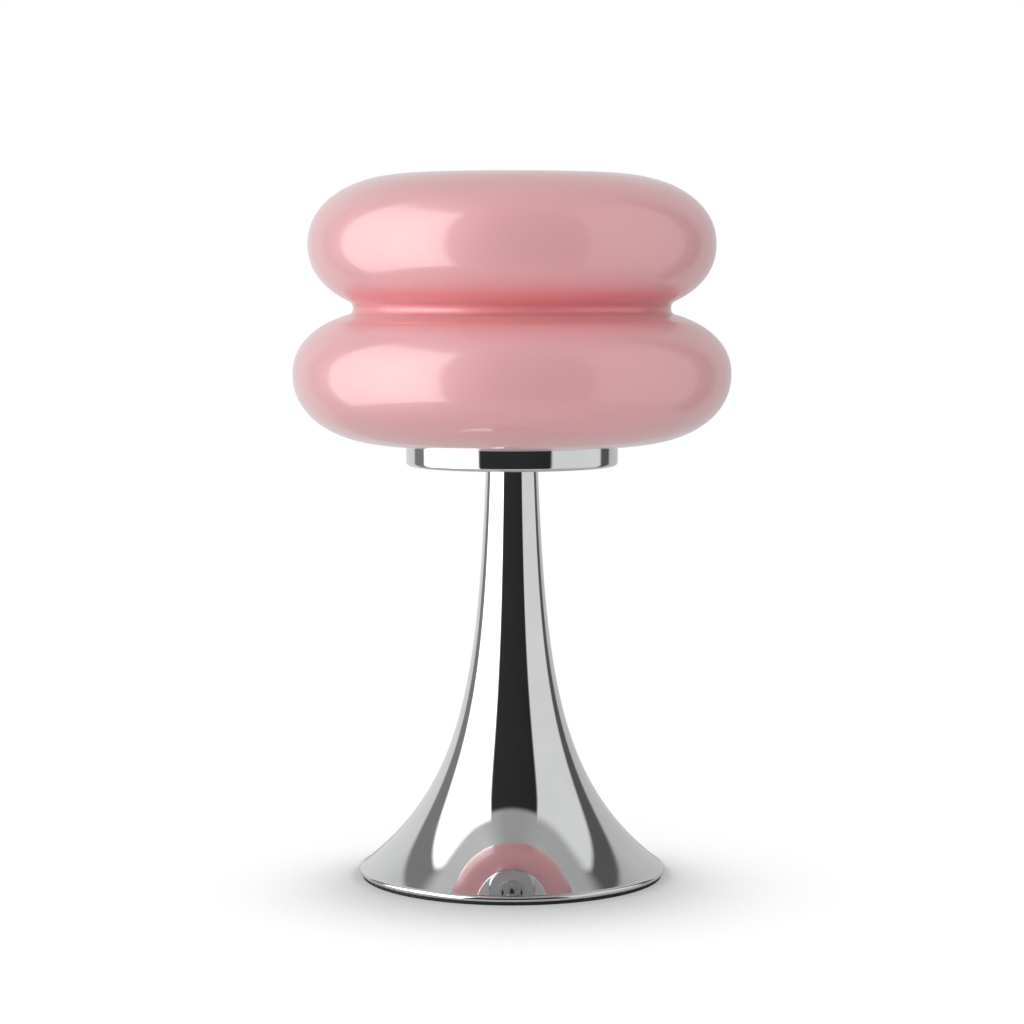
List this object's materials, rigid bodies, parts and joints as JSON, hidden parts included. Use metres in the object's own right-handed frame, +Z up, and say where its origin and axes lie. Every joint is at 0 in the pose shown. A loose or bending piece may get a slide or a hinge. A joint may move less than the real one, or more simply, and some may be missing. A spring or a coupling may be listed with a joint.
{
  "type": "cordless table lamp",
  "caption": "Cordless table lamp with a lift-off opal glass shade of two stacked rings on a chrome collar and a hollow trumpet base.",
  "frame": {"origin": "centre of the foot pad's underside, on the surface that the lamp stands on", "axes": "+Z up along the lamp's axis, +Y towards the rear charging port, +X to the right as seen from the front"},
  "size_m": [0.175, 0.175, 0.2817],
  "materials": {
    "opal_glass": "glossy opal pink blown glass",
    "chrome": "mirror polished",
    "steel": "zinc plated",
    "brass": "machined",
    "aluminium": "turned",
    "cast_iron": "black painted casting",
    "foot_rubber": "matte",
    "silicone": "translucent silicone",
    "black_plastic": "fine moulded texture",
    "white_board": "white solder mask",
    "circuit_board": "green solder mask",
    "led": "yellow phosphor",
    "diffuser": "opal polycarbonate",
    "cell_wrap": "plain shrink wrap",
    "lead_sheath": "silicone sheath"
  },
  "bodies": {
    "lamp_body": {"shade_gasket": "silicone", "magnet_carrier": "black_plastic", "shade_magnets": "steel", "collar": "chrome", "heat_sink": "aluminium", "heat_sink_screws": "steel", "led_board": "white_board", "led_board_screws": "steel", "led_chips": "led", "diffuser_dome": "diffuser", "top_washer": "steel", "top_nut": "brass", "tie_rod": "steel", "trumpet_base": "chrome", "clamp_plate": "steel", "lock_nut": "brass", "driver_board": "circuit_board", "driver_parts": "black_plastic", "driver_screws": "steel", "pillars": "brass", "battery_tray": "black_plastic", "tray_screws": "steel", "battery_cell_front": "cell_wrap", "battery_cell_rear": "cell_wrap", "cell_contacts": "steel", "charge_board": "circuit_board", "charge_board_screws": "steel", "charge_socket": "steel", "port_bezel": "black_plastic", "base_weight": "cast_iron", "base_screws": "steel", "foot_pad": "foot_rubber", "button_bush": "black_plastic", "button_spring": "steel", "tactile_switch": "black_plastic", "switch_board": "circuit_board", "switch_board_screws": "steel", "led_lead": "lead_sheath", "battery_leads": "lead_sheath", "switch_lead": "lead_sheath", "charge_lead": "lead_sheath"},
    "shade": {"glass_shade": "opal_glass", "shade_neck_ring": "steel"},
    "button": {"power_button": "chrome"}
  },
  "joints": [
    {"name": "shade_lift", "type": "slide", "parent": "lamp_body", "child": "shade", "axis": [0, 0, 1], "range_m": [0, 0.04]},
    {"name": "button_press", "type": "slide", "parent": "lamp_body", "child": "button", "axis": [0, 0, 1], "range_m": [0, 0.001], "stiffness_N_per_m": 400, "springref_m": -0.003, "deforming": ["button_spring"]}
  ]
}
